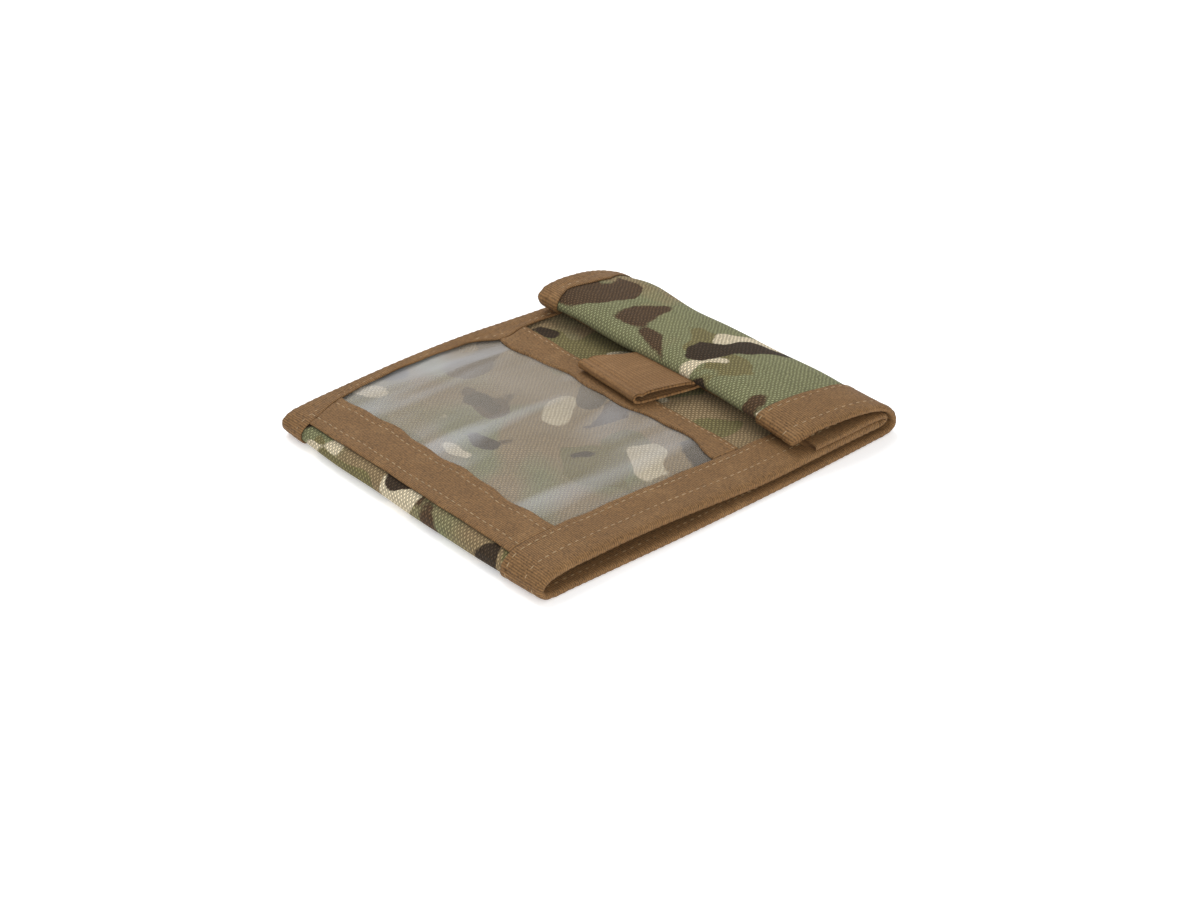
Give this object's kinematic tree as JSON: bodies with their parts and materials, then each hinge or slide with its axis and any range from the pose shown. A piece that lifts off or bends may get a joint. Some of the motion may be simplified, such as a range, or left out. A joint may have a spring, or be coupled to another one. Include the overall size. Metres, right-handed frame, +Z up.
{
  "type": "trifold wallet",
  "caption": "Trifold wallet in camouflage cloth with taped edges, a clear window on the top panel and a closing flap with a webbing pull tab, folded shut.",
  "frame": {"origin": "middle of the underside of the folded wallet, on the surface that it lies on", "axes": "+X from the left fold to the right fold, +Y from the near edge to the far edge, +Z up"},
  "size_m": [0.11, 0.095, 0.0126],
  "materials": {
    "shell_cloth": "plain weave nylon, printed camouflage",
    "lining_cloth": "plain weave nylon",
    "binding_tape": "ribbed tape",
    "clear_vinyl": "clear, slightly milky",
    "hook_fastener": "hook tape",
    "loop_fastener": "loop pile tape",
    "webbing": "ribbed webbing"
  },
  "bodies": {
    "back_panel": {"back_shell": "shell_cloth", "back_lining": "lining_cloth", "back_front_binding": "binding_tape", "back_rear_binding": "binding_tape", "upper_card_pocket": "lining_cloth", "upper_pocket_tape": "binding_tape", "lower_card_pocket": "lining_cloth", "lower_pocket_tape": "binding_tape"},
    "left_spine": {"left_fold_shell": "shell_cloth", "left_fold_lining": "lining_cloth", "left_fold_front_binding": "binding_tape", "left_fold_rear_binding": "binding_tape"},
    "window_panel": {"window_shell": "shell_cloth", "window_lining": "lining_cloth", "window_front_binding": "binding_tape", "window_rear_binding": "binding_tape", "clear_window": "clear_vinyl", "window_side_tape": "binding_tape", "window_mouth_tape": "binding_tape", "landing_band": "shell_cloth", "landing_front_binding": "binding_tape", "landing_rear_binding": "binding_tape", "landing_end_tape": "binding_tape", "loop_tape": "loop_fastener", "slip_pocket": "lining_cloth", "slip_pocket_tape": "binding_tape"},
    "right_spine": {"right_fold_shell": "shell_cloth", "right_fold_lining": "lining_cloth", "right_fold_front_binding": "binding_tape", "right_fold_rear_binding": "binding_tape"},
    "closing_flap": {"flap_shell": "shell_cloth", "flap_lining": "lining_cloth", "flap_front_binding": "binding_tape", "flap_rear_binding": "binding_tape", "hook_tape": "hook_fastener", "tab_tail": "webbing"},
    "pull_tab": {"pull_tab": "webbing"}
  },
  "joints": [
    {"name": "left_fold_lower", "type": "hinge", "parent": "back_panel", "child": "left_spine", "pos_m": [-0.05415, 0, 0.00085], "axis": [0, -1, 0], "range_deg": [0, 84]},
    {"name": "left_fold_upper", "type": "hinge", "parent": "left_spine", "child": "window_panel", "pos_m": [-0.05415, 0, 0.0062], "axis": [0, -1, 0], "range_deg": [0, 92.4]},
    {"name": "right_fold_lower", "type": "hinge", "parent": "back_panel", "child": "right_spine", "pos_m": [0.05415, 0, 0.00085], "axis": [0, 1, 0], "range_deg": [0, 100]},
    {"name": "right_fold_upper", "type": "hinge", "parent": "right_spine", "child": "closing_flap", "pos_m": [0.051, 0, 0.00725], "axis": [0, 1, 0], "range_deg": [0, 60]},
    {"name": "tab_lift", "type": "hinge", "parent": "closing_flap", "child": "pull_tab", "pos_m": [0.02399, 0, 0.0083], "axis": [0, 1, 0], "range_deg": [0, 60]}
  ],
  "couplings": [
    {"joint": "left_fold_upper", "follows": "left_fold_lower", "ratio": 1.1},
    {"joint": "right_fold_upper", "follows": "right_fold_lower", "ratio": 0.6}
  ]
}
